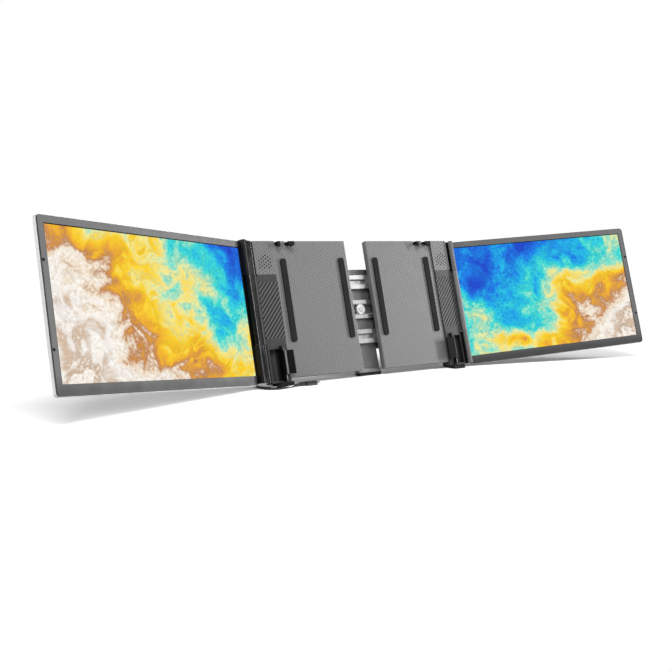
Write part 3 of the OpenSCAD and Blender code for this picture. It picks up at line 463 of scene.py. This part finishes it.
def picture_material(name, flip):
    """Flowing bands of colour, as a glowing picture."""
    m = Nodes(name)
    uv = m.add("ShaderNodeTexCoord").outputs["UV"]
    u, v, _ = m.xyz(uv)
    wide = m.add("ShaderNodeVectorMath", {0: uv, 1: (1.78, 1.0, 1.0)},
                 operation="MULTIPLY").outputs[0]
    wide = m.add("ShaderNodeVectorMath", {0: wide, 1: (flip * 3.7, flip * 1.9, 0)},
                 operation="ADD").outputs[0]
    slow = m.noise(wide, 1.25, 3.0, 0.5, 0.9)
    mid = m.noise(wide, 4.2, 7.0, 0.6, 1.4)
    quick = m.noise(wide, 42.0, 5.0, 0.6, 0.3)
    outer = u if flip > 0 else m.math("SUBTRACT", 1.0, u)
    slope, start, fall = (0.5, -0.01, 0.36) if flip > 0 else (0.6, 0.12, 0.2)
    level = m.math("MULTIPLY_ADD", outer, slope, start)
    low = m.math("MULTIPLY", m.math("SUBTRACT", 1.0, v), fall)
    level = m.math("ADD", level, low)
    level = m.math("ADD", level, m.span(slow, 0.2, 0.8, -0.3, 0.3))
    level = m.math("ADD", level, m.span(mid, 0.2, 0.8, -0.16, 0.16))
    level = m.math("ADD", level, m.span(quick, 0.2, 0.8, -0.05, 0.05))
    ramp = m.add("ShaderNodeValToRGB", {0: level})
    stops = [
        (0.00, (0.012, 0.07, 0.62)), (0.13, (0.010, 0.20, 0.80)),
        (0.24, (0.015, 0.50, 0.80)), (0.33, (0.05, 0.72, 0.66)),
        (0.41, (0.42, 0.80, 0.55)), (0.47, (0.90, 0.82, 0.30)),
        (0.55, (0.98, 0.66, 0.02)), (0.63, (0.88, 0.42, 0.03)),
        (0.69, (0.55, 0.24, 0.09)), (0.76, (0.88, 0.74, 0.58)),
        (0.86, (0.98, 0.95, 0.90)), (0.95, (0.62, 0.44, 0.30)),
        (1.00, (0.95, 0.88, 0.80)),
    ]
    e = ramp.color_ramp.elements
    e[0].position, e[0].color = stops[0][0], (*stops[0][1], 1)
    e[1].position, e[1].color = stops[-1][0], (*stops[-1][1], 1)
    for position, colour in stops[1:-1]:
        e.new(position).color = (*colour, 1)
    veins = m.span(m.math("ABSOLUTE", m.math("SUBTRACT", mid, 0.5)), 0.0, 0.03, 0.84, 1.0)
    grain = m.span(quick, 0.3, 0.7, 0.86, 1.1)
    light = m.math("MULTIPLY", veins, grain)
    colour = m.add("ShaderNodeVectorMath", {0: ramp.outputs[0]},
                   operation="SCALE")
    m.put(colour.inputs["Scale"], light)
    m.shade(Base_Color=(0.004, 0.004, 0.005, 1), Roughness=0.25,
            Specular_IOR_Level=0.0, Emission_Color=colour.outputs[0],
            Emission_Strength=1.0)
    return m.mat


TIP_START = -0.128


def plug_material():
    """Glossy black boots with a silver tip on the free plug."""
    m = Nodes("plug_finish")
    tc = m.add("ShaderNodeTexCoord").outputs["Object"]
    x, y, z = m.xyz(tc)
    tip = m.math("MULTIPLY", m.math("GREATER_THAN", x, TIP_START + HAIR),
                 m.math("LESS_THAN", y, 0.0))
    fine = m.noise(tc, 1500.0, 2.0)
    m.shade(Base_Color=m.mix(tip, m.mix(fine, rgb(12), rgb(18)), rgb(215)),
            Metallic=tip, Roughness=m.span(fine, 0.3, 0.7, 0.16, 0.26),
            Coat_Weight=0.6, Coat_Roughness=0.08,
            Normal=m.bump(fine, 0.2, 0.00003, m.bevel(0.0004)))
    return m.mat


MATS = {
    "cover": finish_of("cover_finish", rgb(96), 0.5, 0.5, 1500, 0.00005),
    "speaker": finish_of("speaker_cone", rgb(8), 0.7, sheen=0.1),
    "steel": finish_of("brushed_rail", rgb(178), 0.32, 1.0, 600, 0.00003,
                       stretch=(0.04, 1, 1)),
    "gear": finish_of("gear_resin", rgb(196), 0.5),
    "rubber": finish_of("soft_rubber", rgb(22), 0.85, 0.0, 1400, 0.00006,
                        sheen=0.15),
    "clip": finish_of("clip_rubber", rgb(10), 0.55, 0.0, 1200, 0.00004,
                      edge=0.0006, sheen=0.1),
    "flap": flap_material(),
    "board": finish_of("solder_mask", (0.02, 0.12, 0.05, 1), 0.4),
    "left_shell": shell_material(-1),
    "right_shell": shell_material(1),
    "left_bezel": bezel_material(-1),
    "right_bezel": bezel_material(1),
    "glass": finish_of("cover_glass", rgb(8), 0.3, 0.0, 60, 0.0, vary=0.02,
                       sheen=0.02),
    "light": finish_of("diffuser", rgb(225), 0.6),
    "button": finish_of("button_satin", rgb(60), 0.4, edge=0.0004),
    "link": finish_of("link_black", rgb(8), 0.22, 0.0, 1500, 0.00002,
                      edge=0.0004, sheen=0.2, vary=0.05),
    "spine": finish_of("spine_anodised", rgb(110), 0.42, 0.8, 1600, 0.00004),
    "dark": finish_of("spine_cover_dark", rgb(52), 0.45, 0.4, 1600, 0.00005,
                      edge=0.0006),
    "leg": finish_of("leg_satin", rgb(150), 0.34, 1.0, 700, 0.00004,
                     stretch=(1, 1, 0.05), edge=0.0005),
    "cord": finish_of("cord_gloss", rgb(4), 0.12, 0.0, 500, 0.000004,
                      coat=0.3, sheen=0.3, vary=0.03),
    "housing": housing_material(),
    "grille": grille_material(),
    "insert": insert_material(),
    "plug": plug_material(),
}
LOOK = {
    "housing": "housing", "cover": "cover", "grille": "grille",
    "speaker": "speaker", "insert": "insert", "rails": "steel",
    "rack": "steel", "lid_pads": "rubber", "foot_pad": "rubber",
    "board": "board", "pins": "steel", "screws": "steel", "flap": "flap",
    "flap_pad": "rubber", "clip": "clip", "link": "link",
    "link_pins": "steel",
    "glass": "glass", "backlight": "light", "display_board": "board",
    "bumpers": "rubber", "button": "button",
    "spine_frame": "spine", "spine_cover": "dark",
    "rail_channels": "steel", "pinion_axle": "steel", "pinion": "gear",
    "centre_foot": "rubber", "kickstand_pin": "steel",
    "spine_screws": "steel", "kickstand_leg": "leg",
    "kickstand_foot": "rubber", "cord": "cord", "cord_coil": "cord",
    "cord_plugs": "plug",
}
for name, piece in nodes.items():
    key = name
    for side in ("left_", "right_"):
        if name.startswith(side):
            key = name[len(side):]
    piece.data.materials.clear()
    piece.data.materials.append(MATS[name] if name in MATS else MATS[LOOK[key]])
cord.data.materials.append(MATS["cord"])


# ---------------------------------------------------------------- pictures
def picture(side, name, body, flip):
    """The lit picture, a hair in front of the glass."""
    ax, ay = axis_of(side)
    swing = SWING[side]
    u0, u1, z0, z1 = SCREEN
    corners = []
    for u, z in ((u0, z0), (u1, z0), (u1, z1), (u0, z1)):
        v = FACE - 0.04
        x = ax + u * math.cos(swing) + v * math.sin(swing)
        y = ay - u * math.sin(swing) + v * math.cos(swing)
        corners.append(place(side * x, y, z))
    order = (0, 1, 2, 3) if side > 0 else (1, 0, 3, 2)
    mesh = bpy.data.meshes.new(name)
    mesh.from_pydata([corners[i] for i in order], [], [(0, 1, 2, 3)])
    layer = mesh.uv_layers.new(name="flat")
    for loop, uv in zip(layer.data, ((0, 0), (1, 0), (1, 1), (0, 1))):
        loop.uv = uv
    mesh.materials.append(picture_material(name + "_glow", flip))
    obj = bpy.data.objects.new(name, mesh)
    scene.collection.objects.link(obj)
    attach(obj, body)


picture(-1, "left_picture", "left_display", -1)
picture(1, "right_picture", "right_display", 1)

# ---------------------------------------------------------------- stage
floor_mesh = bpy.data.meshes.new("floor")
floor_mesh.from_pydata(
    [(-9, -9, -0.0002), (9, -9, -0.0002), (9, 9, -0.0002), (-9, 9, -0.0002)],
    [], [(0, 1, 2, 3)])
floor = bpy.data.objects.new("floor", floor_mesh)
scene.collection.objects.link(floor)
fm = Nodes("floor_white")
bright = fm.shade(Base_Color=(0.92, 0.92, 0.92, 1), Roughness=0.6)
spot = fm.add("ShaderNodeTexCoord").outputs["Object"]
reach = fm.add("ShaderNodeVectorMath", {0: spot}, operation="LENGTH").outputs["Value"]
clear = fm.add("ShaderNodeBsdfTransparent")
blend = fm.add("ShaderNodeMixShader", {0: fm.span(reach, 0.45, 1.0)})
fm.put(blend.inputs[1], bright.outputs[0])
fm.put(blend.inputs[2], clear.outputs[0])
fm.put(fm.out.inputs["Surface"], blend.outputs[0])
floor_mesh.materials.append(fm.mat)

world = bpy.data.worlds.new("studio")
scene.world = world
world.use_nodes = True
wt = world.node_tree
wt.nodes.clear()
w_out = wt.nodes.new("ShaderNodeOutputWorld")
w_mix = wt.nodes.new("ShaderNodeMixShader")
w_path = wt.nodes.new("ShaderNodeLightPath")
w_seen = wt.nodes.new("ShaderNodeBackground")
w_seen.inputs[0].default_value = (1, 1, 1, 1)
w_seen.inputs[1].default_value = 1.0
w_lit = wt.nodes.new("ShaderNodeBackground")
w_lit.inputs[0].default_value = (1, 1, 1, 1)
w_lit.inputs[1].default_value = 0.3
wt.links.new(w_path.outputs["Is Camera Ray"], w_mix.inputs[0])
wt.links.new(w_lit.outputs[0], w_mix.inputs[1])
wt.links.new(w_seen.outputs[0], w_mix.inputs[2])
wt.links.new(w_mix.outputs[0], w_out.inputs[0])


def softbox(name, at, look, width, height, power):
    """A large soft light."""
    data = bpy.data.lights.new(name, "AREA")
    data.shape = "RECTANGLE"
    data.size, data.size_y, data.energy = width, height, power
    obj = bpy.data.objects.new(name, data)
    scene.collection.objects.link(obj)
    obj.location = at
    away = Vector(at) - Vector(look)
    obj.rotation_mode = "QUATERNION"
    obj.rotation_quaternion = away.to_track_quat("Z", "Y")


softbox("main", (-0.6, -1.2, 1.95), (0, 0, 0), 1.6, 0.9, 66)
softbox("key_left", (-2.2, 0.2, 1.1), (0, 0, 0.1), 0.7, 1.4, 24)
softbox("fill_right", (1.8, -1.4, 1.4), (0, 0, 0.1), 1.0, 1.2, 12)
softbox("edge_strip", (2.0, -0.9, 0.5), (-0.2, 0, 0.1), 0.25, 1.5, 55)

scene.view_settings.view_transform = "Standard"
